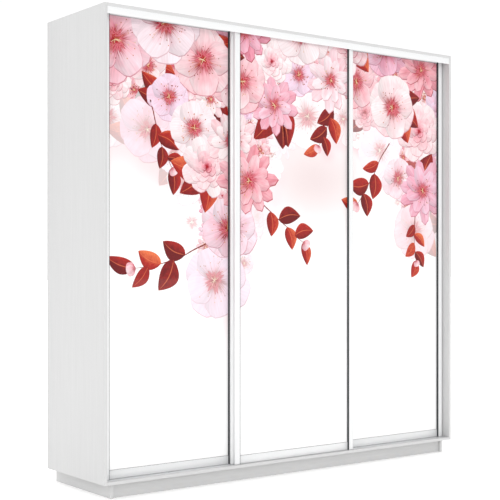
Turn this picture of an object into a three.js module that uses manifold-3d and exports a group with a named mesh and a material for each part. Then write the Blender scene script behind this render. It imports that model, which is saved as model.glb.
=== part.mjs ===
// Sliding-door wardrobe with a plinth, three framed glass doors on two lanes, shelves and hanging rails.
// Millimetres. X runs along the front, -Y is the front, +Z is up. The origin is on the floor, under the
// middle of the body.
import * as THREE from "three";
import { mergeVertices } from "three/addons/utils/BufferGeometryUtils.js";
import Module from "manifold-3d";

// Overall sizes
const WIDTH = 2400;
const DEPTH = 600;
const HEIGHT = 2400;

// Clearance between pieces that slide, turn or are pushed into each other
const GAP = 0.3;

// Boards of the body and its plinth
const BOARD = 16;
const PLINTH_HEIGHT = 72;
const PLINTH_SIDE_INSET = 49;
const PLINTH_FRONT_INSET = 27;
const PLINTH_BACK_INSET = 5.5;
const PLINTH_FACE_SETBACK = 15.5;
const INSIDE_FRONT = 98;
const MIDDLE_SECTION = 778;
const SHELF_SETBACK = 12;
const HAT_SHELF_HEIGHT = 1950;
const LEFT_SHELF_HEIGHTS = [542, 1011, 1480];

// Back sheets
const SHEET = 3;
const SHEET_EDGE_INSET = 1;
const SHEET_JOINT = 2;

// Door lanes, measured back from the body's front edge to the front of the stiles
const FRONT_LANE = 9.5;
const LANE_PITCH = 40;
const WHEEL_LINE = 24.6;

// Door leaves
const OUTER_DOOR_WIDTH = 802;
const MIDDLE_DOOR_WIDTH = 842;
const DOOR_END_CLEARANCE = 0.4;
const DOOR_FLOOR_CLEARANCE = 1.4;
const DOOR_HEAD_CLEARANCE = 11;
const STILE_WIDTH = 38;
const STILE_DEPTH = 36.5;
const STILE_NOSE = 5.6;
const STILE_FACE_EDGE = 0.5;
const COVE_DEPTH = 12.5;
const STILE_WALL = 1.8;
const STILE_INNER_WALL = 2;
const LIP_RECESS = 1.7;
const LIP_NOSE_DEPTH = 2.6;
const GROOVE_FRONT = 14.2;
const GROOVE_BACK = 24.4;
const GROOVE_DEPTH = 10;
const RAIL_FACE = 12.8;
const RAIL_WALL = 1.6;
const RAIL_BACK = 30.5;
const BOTTOM_RAIL_HEIGHT = 42.6;
const BOTTOM_RAIL_GROOVE = 32;
const BOTTOM_RAIL_WEB = 2;
const TOP_RAIL_HEIGHT = 12.5;
const TOP_RAIL_WEB = 2;

// Glass and its seal
const GLASS = 4;
const SEAL_LEG = 1.4;
const SEAL_WEB = 1.2;
const SEAL_REVEAL = 0.8;

// Rollers under the doors and guides on top of them
const WHEEL_RADIUS = 14;
const WHEEL_RIM_WIDTH = 3.6;
const WHEEL_HUB_RADIUS = 10.4;
const WHEEL_HUB_WIDTH = 7.6;
const AXLE_RADIUS = 3;
const AXLE_LENGTH = 11.4;
const WHEEL_FROM_STILE = 46;
const GUIDE_LENGTH = 60;
const GUIDE_WIDTH = 17;
const GUIDE_BASE = 2.5;
const GUIDE_SLIDER_LENGTH = 52;
const GUIDE_SLIDER_END = 12;
const GUIDE_HEIGHT = 9;
const GUIDE_CLEARANCE = 0.5;

// Tracks
const TRACK_BACK = 88;
const FASCIA_HEIGHT = 35;
const TRACK_WALL = 1.75;
const DIVIDER_FRONT = 47;
const DIVIDER = 1.5;
const FLANGE_HEIGHT = 22;
const BOTTOM_TRACK_FRONT = 20;
const BOTTOM_TRACK_THICKNESS = 6;
const TRACK_GROOVE_WIDTH = 4.6;
const TRACK_GROOVE_DEPTH = 3.4;
const TRACK_GROOVE_LEAD_IN = 0.8;

// Hanging rails
const ROD_HEIGHT = 1880;
const ROD_TALL = 30;
const ROD_THICK = 15;
const ROD_WALL = 1.5;
const FLANGE_WALL = 5;
const FLANGE_LENGTH = 12;
const FLANGE_POCKET = 9.5;

// Levels and edges that follow from the sizes above
const FRONT = -DEPTH / 2;
const INSIDE_X = WIDTH / 2 - BOARD;
const FLOOR = PLINTH_HEIGHT + BOARD;
const CEILING = HEIGHT - BOARD;
const INSIDE_BACK = DEPTH / 2 - SHEET;
const PARTITION_INNER = MIDDLE_SECTION / 2;
const PARTITION_OUTER = PARTITION_INNER + BOARD;
const PARTITION_CENTRE = PARTITION_INNER + BOARD / 2;
const DOOR_BOTTOM = FLOOR + DOOR_FLOOR_CLEARANCE;
const DOOR_TOP = CEILING - DOOR_HEAD_CLEARANCE;
const GLASS_FRONT = GROOVE_FRONT + GAP + SEAL_LEG + GAP;
const TRACK_UNDERSIDE = CEILING - TRACK_WALL;
const GUIDE_FOOT = TRACK_UNDERSIDE - GUIDE_HEIGHT - 2;
const TOP_RAIL_BOTTOM = GUIDE_FOOT - TOP_RAIL_HEIGHT;
const GROOVE_FLOOR = FLOOR - TRACK_GROOVE_DEPTH;
const WHEEL_CENTRE = GROOVE_FLOOR + GAP + WHEEL_RADIUS;

const wasm = await Module();
wasm.setup();

// Materials
const material = (color, roughness, metalness) =>
  new THREE.MeshStandardMaterial({ color, roughness, metalness });
const whiteBoard = () => material(0xf2f2f1, 0.5, 0);
const hardboard = () => material(0xe9e7e2, 0.6, 0);
const whiteProfile = () => material(0xf4f5f5, 0.25, 0.1);
const bareAluminium = () => material(0xc9cbcc, 0.35, 0.9);
const printedGlass = () => material(0xfbe9ee, 0.08, 0);
const darkRubber = () => material(0x4d4d4f, 0.7, 0);
const greyNylon = () => material(0xb8babb, 0.5, 0);
const chrome = () => material(0xd9dbdc, 0.12, 1);

const wardrobe = new THREE.Group();

// A named mesh put into the wardrobe
function add(name, geometry, finish) {
  const mesh = new THREE.Mesh(geometry, finish);
  mesh.name = name;
  wardrobe.add(mesh);
  return mesh;
}

// A board or sheet between two corners
function addBoard(name, [x0, x1], [y0, y1], [z0, z1], finish) {
  const mesh = add(name, new THREE.BoxGeometry(x1 - x0, y1 - y0, z1 - z0), finish);
  mesh.position.set((x0 + x1) / 2, (y0 + y1) / 2, (z0 + z1) / 2);
  return mesh;
}

// A closed outline from a list of corner points
function outline(points) {
  return new THREE.Shape(points.map(([a, b]) => new THREE.Vector2(a, b)));
}

// A rectangle as an outline or a hole
function rectangle(a0, a1, b0, b1) {
  return outline([
    [a0, b0],
    [a1, b0],
    [a1, b1],
    [a0, b1],
  ]);
}

// A bar of the same section from z0 to z1; the section lies in X and Y
function barAlongZ(section, z0, z1, curveSegments = 6) {
  const bar = new THREE.ExtrudeGeometry(section, {
    depth: z1 - z0,
    bevelEnabled: false,
    curveSegments,
  });
  return bar.translate(0, 0, z0);
}

// A bar of the same section from x0 to x1; the section's first axis is Y and its second is Z
function barAlongX(section, x0, x1, curveSegments = 6) {
  const turn = new THREE.Matrix4().makeBasis(
    new THREE.Vector3(0, 1, 0),
    new THREE.Vector3(0, 0, 1),
    new THREE.Vector3(1, 0, 0),
  );
  const bar = new THREE.ExtrudeGeometry(section, {
    depth: x1 - x0,
    bevelEnabled: false,
    curveSegments,
  });
  return bar.applyMatrix4(turn).translate(x0, 0, 0);
}

// A solid for cutting and joining
function solid(geometry) {
  const bare = geometry.clone();
  bare.deleteAttribute("normal");
  bare.deleteAttribute("uv");
  const merged = mergeVertices(bare, 1e-4);
  return new wasm.Manifold(
    new wasm.Mesh({
      numProp: 3,
      vertProperties: new Float32Array(merged.attributes.position.array),
      triVerts: new Uint32Array(merged.index.array),
    }),
  );
}

// The geometry of a solid
function geometryOf(body) {
  const mesh = body.getMesh();
  const geometry = new THREE.BufferGeometry();
  geometry.setAttribute("position", new THREE.BufferAttribute(mesh.vertProperties, 3));
  geometry.setIndex(new THREE.BufferAttribute(mesh.triVerts, 1));
  geometry.computeVertexNormals();
  return geometry;
}

// Side panels, top, base and the two partitions
function addBody() {
  for (const [name, side] of [["side_left", -1], ["side_right", 1]]) {
    const edges = [side * INSIDE_X, (side * WIDTH) / 2].sort((a, b) => a - b);
    addBoard(name, edges, [FRONT, INSIDE_BACK], [PLINTH_HEIGHT, HEIGHT], whiteBoard());
  }
  const across = [-INSIDE_X, INSIDE_X];
  addBoard("top_board", across, [FRONT, INSIDE_BACK], [CEILING, HEIGHT], whiteBoard());
  addBaseBoard();
  for (const [name, side] of [["partition_left", -1], ["partition_right", 1]]) {
    const edges = [side * PARTITION_INNER, side * PARTITION_OUTER].sort((a, b) => a - b);
    const run = [FRONT + INSIDE_FRONT, INSIDE_BACK];
    addBoard(name, edges, run, [FLOOR, CEILING], whiteBoard());
  }
}

// The base board has a rebate along its front, into which the bottom track is let
function addBaseBoard() {
  const rebateFront = FRONT + BOTTOM_TRACK_FRONT - GAP;
  const rebateBack = FRONT + TRACK_BACK + GAP;
  const rebateFloor = FLOOR - BOTTOM_TRACK_THICKNESS - GAP;
  const section = outline([
    [FRONT, PLINTH_HEIGHT],
    [INSIDE_BACK, PLINTH_HEIGHT],
    [INSIDE_BACK, FLOOR],
    [rebateBack, FLOOR],
    [rebateBack, rebateFloor],
    [rebateFront, rebateFloor],
    [rebateFront, FLOOR],
    [FRONT, FLOOR],
  ]);
  add("base_board", barAlongX(section, -INSIDE_X, INSIDE_X), whiteBoard());
}

// Thin back sheets that meet behind the partitions
function addBack() {
  const edge = WIDTH / 2 - SHEET_EDGE_INSET;
  const inner = PARTITION_CENTRE - SHEET_JOINT / 2;
  const outer = PARTITION_CENTRE + SHEET_JOINT / 2;
  const thickness = [INSIDE_BACK, DEPTH / 2];
  const height = [PLINTH_HEIGHT + SHEET_EDGE_INSET, HEIGHT - SHEET_EDGE_INSET];
  addBoard("back_left", [-edge, -outer], thickness, height, hardboard());
  addBoard("back_middle", [-inner, inner], thickness, height, hardboard());
  addBoard("back_right", [outer, edge], thickness, height, hardboard());
}

// A plinth box under the base board: two side boards, with a front and a back between them
function addPlinth() {
  const outer = WIDTH / 2 - PLINTH_SIDE_INSET;
  const inner = outer - BOARD;
  const front = FRONT + PLINTH_FRONT_INSET;
  const back = DEPTH / 2 - PLINTH_BACK_INSET;
  const face = front + PLINTH_FACE_SETBACK;
  const height = [0, PLINTH_HEIGHT];
  addBoard("plinth_left", [-outer, -inner], [front, back], height, whiteBoard());
  addBoard("plinth_right", [inner, outer], [front, back], height, whiteBoard());
  addBoard("plinth_front", [-inner, inner], [face, face + BOARD], height, whiteBoard());
  addBoard("plinth_back", [-inner, inner], [back - BOARD, back], height, whiteBoard());
}

// Shelves between the side panels and the partitions
function addShelves() {
  const run = [FRONT + INSIDE_FRONT + SHELF_SETBACK, INSIDE_BACK];
  const level = (z) => [z, z + BOARD];
  const left = [-INSIDE_X, -PARTITION_OUTER];
  const middle = [-PARTITION_INNER, PARTITION_INNER];
  const right = [PARTITION_OUTER, INSIDE_X];
  LEFT_SHELF_HEIGHTS.forEach((z, i) => {
    addBoard("shelf_left_" + (i + 1), left, run, level(z), whiteBoard());
  });
  addBoard("shelf_left_top", left, run, level(HAT_SHELF_HEIGHT), whiteBoard());
  addBoard("shelf_middle_top", middle, run, level(HAT_SHELF_HEIGHT), whiteBoard());
  addBoard("shelf_right_top", right, run, level(HAT_SHELF_HEIGHT), whiteBoard());
}

// An upright oval with straight sides, centred on a point of Y and Z
function oval(thick, tall, y, z) {
  const r = thick / 2;
  const straight = tall / 2 - r;
  const shape = new THREE.Shape();
  shape.moveTo(y + r, z - straight);
  shape.lineTo(y + r, z + straight);
  shape.absarc(y, z + straight, r, 0, Math.PI, false);
  shape.lineTo(y - r, z - straight);
  shape.absarc(y, z - straight, r, Math.PI, 2 * Math.PI, false);
  return shape;
}

// An oval hanging rail and the cup at each of its ends
function addHangingRail(section, x0, x1) {
  const y = (FRONT + INSIDE_FRONT + INSIDE_BACK) / 2;
  const tube = oval(ROD_THICK, ROD_TALL, y, ROD_HEIGHT);
  tube.holes.push(oval(ROD_THICK - 2 * ROD_WALL, ROD_TALL - 2 * ROD_WALL, y, ROD_HEIGHT));
  const pocketEnd = FLANGE_LENGTH - FLANGE_POCKET;
  const reach = pocketEnd + GAP;
  add("rail_" + section, barAlongX(tube, x0 + reach, x1 - reach, 8), chrome());

  const cup = oval(ROD_THICK + 2 * FLANGE_WALL, ROD_TALL + 2 * FLANGE_WALL, y, ROD_HEIGHT);
  const pocket = oval(ROD_THICK + 2 * GAP, ROD_TALL + 2 * GAP, y, ROD_HEIGHT);
  const beyond = 1;
  const left = solid(barAlongX(cup, x0, x0 + FLANGE_LENGTH, 8)).subtract(
    solid(barAlongX(pocket, x0 + pocketEnd, x0 + FLANGE_LENGTH + beyond, 8)),
  );
  const right = solid(barAlongX(cup, x1 - FLANGE_LENGTH, x1, 8)).subtract(
    solid(barAlongX(pocket, x1 - FLANGE_LENGTH - beyond, x1 - pocketEnd, 8)),
  );
  add("rail_cup_" + section + "_left", geometryOf(left), chrome());
  add("rail_cup_" + section + "_right", geometryOf(right), chrome());
}

// Two-lane top track of an E section: a web under the top board, a tall fascia in front, a divider
// between the lanes and a flange behind them
function addTopTrack() {
  const length = [-INSIDE_X + GAP, INSIDE_X - GAP];
  const wall = (name, front, thickness, height) => {
    const depth = [FRONT + front, FRONT + front + thickness];
    const level = [CEILING - height, TRACK_UNDERSIDE];
    addBoard("top_track_" + name, length, depth, level, whiteProfile());
  };
  const depth = [FRONT, FRONT + TRACK_BACK + TRACK_WALL];
  addBoard("top_track_web", length, depth, [TRACK_UNDERSIDE, CEILING], whiteProfile());
  wall("fascia", 0, TRACK_WALL, FASCIA_HEIGHT);
  wall("divider", DIVIDER_FRONT, DIVIDER, FLANGE_HEIGHT);
  wall("flange", TRACK_BACK, TRACK_WALL, FLANGE_HEIGHT);
}

// Two-lane bottom track, let into the base board, with a groove for the rims of the wheels in each lane
function addBottomTrack() {
  const half = TRACK_GROOVE_WIDTH / 2;
  const points = [
    [FRONT + TRACK_BACK, FLOOR - BOTTOM_TRACK_THICKNESS],
    [FRONT + TRACK_BACK, FLOOR],
  ];
  for (const lane of [FRONT_LANE + LANE_PITCH, FRONT_LANE]) {
    const centre = FRONT + lane + WHEEL_LINE;
    points.push([centre + half + TRACK_GROOVE_LEAD_IN, FLOOR]);
    points.push([centre + half, FLOOR - TRACK_GROOVE_LEAD_IN]);
    points.push([centre + half, GROOVE_FLOOR]);
    points.push([centre - half, GROOVE_FLOOR]);
    points.push([centre - half, FLOOR - TRACK_GROOVE_LEAD_IN]);
    points.push([centre - half - TRACK_GROOVE_LEAD_IN, FLOOR]);
  }
  points.push([FRONT + BOTTOM_TRACK_FRONT, FLOOR]);
  points.push([FRONT + BOTTOM_TRACK_FRONT, FLOOR - BOTTOM_TRACK_THICKNESS]);
  const bar = barAlongX(outline(points), -INSIDE_X + GAP, INSIDE_X - GAP);
  add("bottom_track", bar, bareAluminium());
}

// X of a section point of a stile; u runs from the door's outer edge inwards
const inwards = (side, u) => (side === "left" ? u : -u);

// Stile section: a front face with a rounded nose, a cove for the fingers on the outer side, and a
// groove for the glass behind the inner lip. v runs back from the front face.
function stileSection(side) {
  const x = (u) => inwards(side, u);
  const baseFront = 30;
  const coveMiddle = 18.5;
  const noseBack = 8;
  const faceStart = 12;
  const faceEnd = 36;
  const faceMiddle = (faceStart + faceEnd) / 2;
  const recess = STILE_WIDTH - LIP_RECESS;
  const grooveEnd = STILE_WIDTH - GROOVE_DEPTH;
  const shape = new THREE.Shape();
  shape.moveTo(x(0), STILE_DEPTH);
  shape.lineTo(x(0), baseFront);
  shape.bezierCurveTo(x(7), baseFront - 1, x(COVE_DEPTH), 24, x(COVE_DEPTH), coveMiddle);
  shape.bezierCurveTo(x(COVE_DEPTH), 13, x(STILE_NOSE + 3), noseBack + 1.5, x(STILE_NOSE), noseBack);
  shape.bezierCurveTo(x(STILE_NOSE), 3.5, x(STILE_NOSE + 2), 1, x(faceStart), STILE_FACE_EDGE);
  shape.quadraticCurveTo(x(faceMiddle), -STILE_FACE_EDGE, x(faceEnd), STILE_FACE_EDGE);
  shape.quadraticCurveTo(x(STILE_WIDTH), 0.6, x(STILE_WIDTH), LIP_NOSE_DEPTH - 0.6);
  shape.lineTo(x(STILE_WIDTH), LIP_NOSE_DEPTH);
  shape.lineTo(x(recess), LIP_NOSE_DEPTH);
  shape.lineTo(x(recess), GROOVE_FRONT);
  shape.lineTo(x(grooveEnd), GROOVE_FRONT);
  shape.lineTo(x(grooveEnd), GROOVE_BACK);
  shape.lineTo(x(STILE_WIDTH), GROOVE_BACK);
  shape.lineTo(x(STILE_WIDTH), STILE_DEPTH);
  shape.closePath();

  const coveWall = COVE_DEPTH + STILE_WALL;
  const frontEnd = GROOVE_FRONT - STILE_WALL;
  const backStart = GROOVE_BACK + STILE_WALL;
  const chamber = (u0, u1, v0, v1) => {
    const [left, right] = [x(u0), x(u1)].sort((a, b) => a - b);
    return rectangle(left, right, v0, v1);
  };
  shape.holes.push(
    chamber(coveWall, recess - STILE_WALL, 2.3, frontEnd),
    chamber(
      coveWall,
      grooveEnd - STILE_WALL,
      frontEnd + STILE_INNER_WALL,
      backStart - STILE_INNER_WALL,
    ),
    chamber(coveWall, STILE_WIDTH - STILE_WALL, backStart, STILE_DEPTH - STILE_WALL),
  );
  return shape;
}

// Seal section along a stile: a U round the glass edge, and a fin up the inner side of the lip
function sealSectionAlongStile(side, edge, y) {
  const bed = STILE_WIDTH - GROOVE_DEPTH + GAP;
  const finBack = STILE_WIDTH - LIP_RECESS + GAP;
  const legFront = GROOVE_FRONT + GAP;
  const backLegFront = GLASS_FRONT + GLASS + GAP;
  const backLegBack = GROOVE_BACK - GAP;
  return outline(
    [
      [finBack, LIP_NOSE_DEPTH + GAP],
      [STILE_WIDTH, LIP_NOSE_DEPTH + GAP],
      [STILE_WIDTH, legFront + SEAL_LEG],
      [bed + SEAL_WEB, legFront + SEAL_LEG],
      [bed + SEAL_WEB, backLegFront],
      [finBack, backLegFront],
      [finBack, backLegBack],
      [bed, backLegBack],
      [bed, legFront],
      [finBack, legFront],
    ].map(([u, v]) => [edge + inwards(side, u), y + v]),
  );
}

// Seal section along a rail: a U round the glass edge. up is +1 on the bottom rail, -1 on the top one.
function sealSectionAlongRail(y, bed, reveal, up) {
  const legFront = y + GROOVE_FRONT + GAP;
  const backLegFront = y + GLASS_FRONT + GLASS + GAP;
  const backLegBack = y + GROOVE_BACK - GAP;
  const web = bed + up * SEAL_WEB;
  return outline([
    [legFront, bed],
    [backLegBack, bed],
    [backLegBack, reveal],
    [backLegFront, reveal],
    [backLegFront, web],
    [legFront + SEAL_LEG, web],
    [legFront + SEAL_LEG, reveal],
    [legFront, reveal],
  ]);
}

// Bottom rail: a face, a groove for the glass on top, and a channel below in which the wheels turn
function bottomRail(y, x0, x1, wheels) {
  const z = DOOR_BOTTOM;
  const chamberTop = z + BOTTOM_RAIL_GROOVE - BOTTOM_RAIL_WEB;
  const grooveFloor = z + BOTTOM_RAIL_GROOVE;
  const top = z + BOTTOM_RAIL_HEIGHT;
  const ribBack = WHEEL_LINE - WHEEL_HUB_WIDTH / 2 - GAP;
  const wallFront = WHEEL_LINE + WHEEL_HUB_WIDTH / 2 + GAP;
  const section = outline(
    [
      [RAIL_FACE, z],
      [RAIL_FACE + RAIL_WALL, z],
      [RAIL_FACE + RAIL_WALL, chamberTop],
      [ribBack - RAIL_WALL, chamberTop],
      [ribBack - RAIL_WALL, z],
      [ribBack, z],
      [ribBack, chamberTop],
      [wallFront, chamberTop],
      [wallFront, z],
      [RAIL_BACK, z],
      [RAIL_BACK, grooveFloor],
      [GROOVE_BACK + RAIL_WALL, grooveFloor],
      [GROOVE_BACK + RAIL_WALL, top],
      [GROOVE_BACK, top],
      [GROOVE_BACK, grooveFloor],
      [GROOVE_FRONT, grooveFloor],
      [GROOVE_FRONT, top],
      [RAIL_FACE, top],
    ].map(([v, level]) => [y + v, level]),
  );
  let rail = solid(barAlongX(section, x0, x1));
  const holeLength = 14;
  for (const x of wheels) {
    const hole = new THREE.CylinderGeometry(AXLE_RADIUS + GAP, AXLE_RADIUS + GAP, holeLength, 20);
    hole.translate(x, y + WHEEL_LINE, WHEEL_CENTRE);
    rail = rail.subtract(solid(hole));
  }
  return geometryOf(rail);
}

// Top rail: a slim channel over the glass, with a flat top for the guides
function topRail(y, x0, x1) {
  const z = TOP_RAIL_BOTTOM;
  const top = z + TOP_RAIL_HEIGHT;
  const grooveRoof = top - TOP_RAIL_WEB;
  const section = outline(
    [
      [RAIL_FACE, z],
      [GROOVE_FRONT, z],
      [GROOVE_FRONT, grooveRoof],
      [GROOVE_BACK, grooveRoof],
      [GROOVE_BACK, z],
      [GROOVE_BACK + RAIL_WALL, z],
      [GROOVE_BACK + RAIL_WALL, grooveRoof],
      [STILE_DEPTH - RAIL_WALL, grooveRoof],
      [STILE_DEPTH - RAIL_WALL, top],
      [RAIL_FACE, top],
    ].map(([v, level]) => [y + v, level]),
  );
  return barAlongX(section, x0, x1);
}

// Wheel and axle, turned about Y
function wheel() {
  const rim = WHEEL_RIM_WIDTH / 2;
  const hub = WHEEL_HUB_WIDTH / 2;
  const end = AXLE_LENGTH / 2;
  const profile = [
    [0, -end],
    [AXLE_RADIUS, -end],
    [AXLE_RADIUS, -hub],
    [WHEEL_HUB_RADIUS, -hub],
    [WHEEL_HUB_RADIUS, -rim - 0.4],
    [WHEEL_RADIUS - 0.6, -rim],
    [WHEEL_RADIUS, -rim + 0.6],
    [WHEEL_RADIUS, rim - 0.6],
    [WHEEL_RADIUS - 0.6, rim],
    [WHEEL_HUB_RADIUS, rim + 0.4],
    [WHEEL_HUB_RADIUS, hub],
    [AXLE_RADIUS, hub],
    [AXLE_RADIUS, end],
    [0, end],
  ].map(([r, h]) => new THREE.Vector2(r, h));
  return new THREE.LatheGeometry(profile, 28);
}

// Guide shoe: a foot on the top rail and a slider with sloping ends between the walls of the track.
// front and back are the slider's faces, measured from the middle of the foot.
function guideShoe(front, back) {
  const foot = new THREE.BoxGeometry(GUIDE_LENGTH, GUIDE_WIDTH, GUIDE_BASE);
  foot.translate(0, 0, GUIDE_BASE / 2);
  const half = GUIDE_SLIDER_LENGTH / 2;
  const short = half - GUIDE_SLIDER_END;
  const slope = GUIDE_SLIDER_END / 2;
  const slider = outline([
    [-half, front + slope],
    [-short, front],
    [short, front],
    [half, front + slope],
    [half, back - slope],
    [short, back],
    [-short, back],
    [-half, back - slope],
  ]);
  const sunk = 0.5;
  const sliderBar = barAlongZ(slider, GUIDE_BASE - sunk, GUIDE_HEIGHT);
  return geometryOf(solid(foot).add(solid(sliderBar)));
}

// The seal as one ring round the glass
function sealRing(x0, x1, y) {
  const bottomBed = DOOR_BOTTOM + BOTTOM_RAIL_GROOVE + GAP;
  const bottomReveal = DOOR_BOTTOM + BOTTOM_RAIL_HEIGHT + SEAL_REVEAL;
  const topBed = TOP_RAIL_BOTTOM + TOP_RAIL_HEIGHT - TOP_RAIL_WEB - GAP;
  const topReveal = TOP_RAIL_BOTTOM - 1;
  const inset = STILE_WIDTH - GROOVE_DEPTH + GAP + SEAL_WEB / 2;
  const upright = (side, edge) =>
    barAlongZ(sealSectionAlongStile(side, edge, y), DOOR_BOTTOM, topBed);
  const level = (bed, reveal, up) =>
    barAlongX(sealSectionAlongRail(y, bed, reveal, up), x0 + inset, x1 - inset);
  return solid(upright("left", x0))
    .add(solid(upright("right", x1)))
    .add(solid(level(bottomBed, bottomReveal, 1)))
    .add(solid(level(topBed, topReveal, -1)));
}

// One door leaf with its left edge at x0. lane is where its stiles start, and channel holds the walls of
// the top track that its guides run between.
function addDoor(name, x0, width, lane, channel) {
  const x1 = x0 + width;
  const y = FRONT + lane;
  const left = barAlongZ(stileSection("left"), DOOR_BOTTOM, DOOR_TOP).translate(x0, y, 0);
  const right = barAlongZ(stileSection("right"), DOOR_BOTTOM, DOOR_TOP).translate(x1, y, 0);
  add(name + "_stile_left", left, whiteProfile());
  add(name + "_stile_right", right, whiteProfile());

  const railStart = x0 + STILE_WIDTH + GAP;
  const railEnd = x1 - STILE_WIDTH - GAP;
  const wheels = [
    x0 + STILE_WIDTH + WHEEL_FROM_STILE,
    x1 - STILE_WIDTH - WHEEL_FROM_STILE,
  ];
  add(name + "_rail_bottom", bottomRail(y, railStart, railEnd, wheels), whiteProfile());
  add(name + "_rail_top", topRail(y, railStart, railEnd), whiteProfile());

  const bed = STILE_WIDTH - GROOVE_DEPTH + 2 * GAP + SEAL_WEB;
  const glassBottom = DOOR_BOTTOM + BOTTOM_RAIL_GROOVE + 2 * GAP + SEAL_WEB;
  const glassTop = TOP_RAIL_BOTTOM + TOP_RAIL_HEIGHT - TOP_RAIL_WEB - 2 * GAP - SEAL_WEB;
  const glassFront = y + GLASS_FRONT;
  addBoard(
    name + "_glass",
    [x0 + bed, x1 - bed],
    [glassFront, glassFront + GLASS],
    [glassBottom, glassTop],
    printedGlass(),
  );
  add(name + "_seal", geometryOf(sealRing(x0, x1, y)), darkRubber());

  [["left", wheels[0]], ["right", wheels[1]]].forEach(([end, x]) => {
    const roller = add(name + "_roller_" + end, wheel(), greyNylon());
    roller.position.set(x, y + WHEEL_LINE, WHEEL_CENTRE);
    const [front, back] = [channel[0] + GUIDE_CLEARANCE, channel[1] - GUIDE_CLEARANCE];
    const middle = lane + WHEEL_LINE;
    const guide = add(
      name + "_guide_" + end,
      guideShoe(front - middle, back - middle),
      greyNylon(),
    );
    guide.position.set(x, y + WHEEL_LINE, GUIDE_FOOT);
  });
}

addBody();
addBack();
addPlinth();
addShelves();
addHangingRail("middle", -PARTITION_INNER, PARTITION_INNER);
addHangingRail("right", PARTITION_OUTER, INSIDE_X);
addTopTrack();
addBottomTrack();

const doorEdge = INSIDE_X - DOOR_END_CLEARANCE;
const rearLane = FRONT_LANE + LANE_PITCH;
const frontChannel = [TRACK_WALL, DIVIDER_FRONT];
const rearChannel = [DIVIDER_FRONT + DIVIDER, TRACK_BACK];
addDoor("door_left", -doorEdge, OUTER_DOOR_WIDTH, rearLane, rearChannel);
addDoor("door_middle", -MIDDLE_DOOR_WIDTH / 2, MIDDLE_DOOR_WIDTH, FRONT_LANE, frontChannel);
addDoor("door_right", doorEdge - OUTER_DOOR_WIDTH, OUTER_DOOR_WIDTH, rearLane, rearChannel);

export default wardrobe;
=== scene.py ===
"""A sliding-door wardrobe dressed over its frame: boards, door profiles, printed panes and fittings."""

import math

import bmesh
import bpy
import numpy as np
from mathutils import Euler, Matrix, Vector


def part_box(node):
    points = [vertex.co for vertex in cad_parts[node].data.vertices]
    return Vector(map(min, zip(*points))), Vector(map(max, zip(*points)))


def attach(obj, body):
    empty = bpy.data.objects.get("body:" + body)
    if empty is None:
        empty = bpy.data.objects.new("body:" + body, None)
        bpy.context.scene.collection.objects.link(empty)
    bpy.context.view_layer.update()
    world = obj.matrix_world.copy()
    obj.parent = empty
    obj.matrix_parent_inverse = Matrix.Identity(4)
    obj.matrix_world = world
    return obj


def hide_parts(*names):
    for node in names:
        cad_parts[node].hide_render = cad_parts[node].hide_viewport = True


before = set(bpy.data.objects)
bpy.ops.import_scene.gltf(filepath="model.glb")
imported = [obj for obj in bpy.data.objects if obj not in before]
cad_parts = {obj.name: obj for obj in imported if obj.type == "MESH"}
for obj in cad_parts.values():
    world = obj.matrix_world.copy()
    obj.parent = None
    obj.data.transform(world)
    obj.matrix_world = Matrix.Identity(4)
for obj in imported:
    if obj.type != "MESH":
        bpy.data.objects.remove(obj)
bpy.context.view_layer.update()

bl_info = {
    "name": "Sliding wardrobe",
    "version": (1, 0, 0),
    "blender": (4, 5, 0),
    "location": "View3D > Sidebar > Wardrobe",
    "description": "Dresses a sliding-door wardrobe with boards, profiles, printed panes and fittings",
    "category": "Object",
}

MM = 0.001
DOORS = ("door_left", "door_middle", "door_right")
ENDS = ("left", "right")


# Settings


def linear(colour):
    """The scene-linear value of a display colour."""
    return tuple(c / 12.92 if c <= 0.04045 else ((c + 0.055) / 1.055) ** 2.4 for c in colour)


def colour_property(name, description, default):
    """A colour that a user can change, given as a display colour."""
    return bpy.props.FloatVectorProperty(
        name=name, description=description, subtype="COLOR", size=3, min=0.0, max=1.0,
        default=linear(default),
    )


def length_property(name, description, millimetres):
    """A length that a user can change."""
    return bpy.props.FloatProperty(
        name=name, description=description, default=millimetres * MM, unit="LENGTH", min=0.0,
        precision=4,
    )


class WardrobeFinish(bpy.types.PropertyGroup):
    """Colours and small sizes of the wardrobe itself."""

    board: colour_property("Board", "White melamine of the boards", (0.80, 0.80, 0.80))
    edging: colour_property("Edging", "Edge band of the boards", (0.80, 0.80, 0.80))
    hardboard: colour_property("Back sheet", "Lacquered hardboard", (0.80, 0.79, 0.77))
    profile: colour_property("Profile", "Coated door and track profiles", (0.905, 0.908, 0.91))
    aluminium: colour_property("Aluminium", "Bare anodised aluminium", (0.86, 0.865, 0.87))
    rubber: colour_property("Seal", "Rubber seal of the glass", (0.25, 0.26, 0.27))
    nylon: colour_property("Nylon", "Wheels and guides", (0.80, 0.81, 0.81))
    chrome: colour_property("Chrome", "Hanging rails and their cups", (0.90, 0.905, 0.91))
    steel: colour_property("Steel", "Screws, nails and shelf pins", (0.78, 0.78, 0.77))
    glass: colour_property("Pane edge", "Cut edge and back of the panes", (0.86, 0.90, 0.885))
    board_radius: length_property("Board edge", "Rounding of the board edges", 0.8)
    profile_radius: length_property("Profile edge", "Rounding of the profile edges", 0.35)
    nail_spacing: length_property("Nail spacing", "Distance between the back nails", 145)
    screw_spacing: length_property("Screw spacing", "Distance between the track screws", 290)


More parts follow.
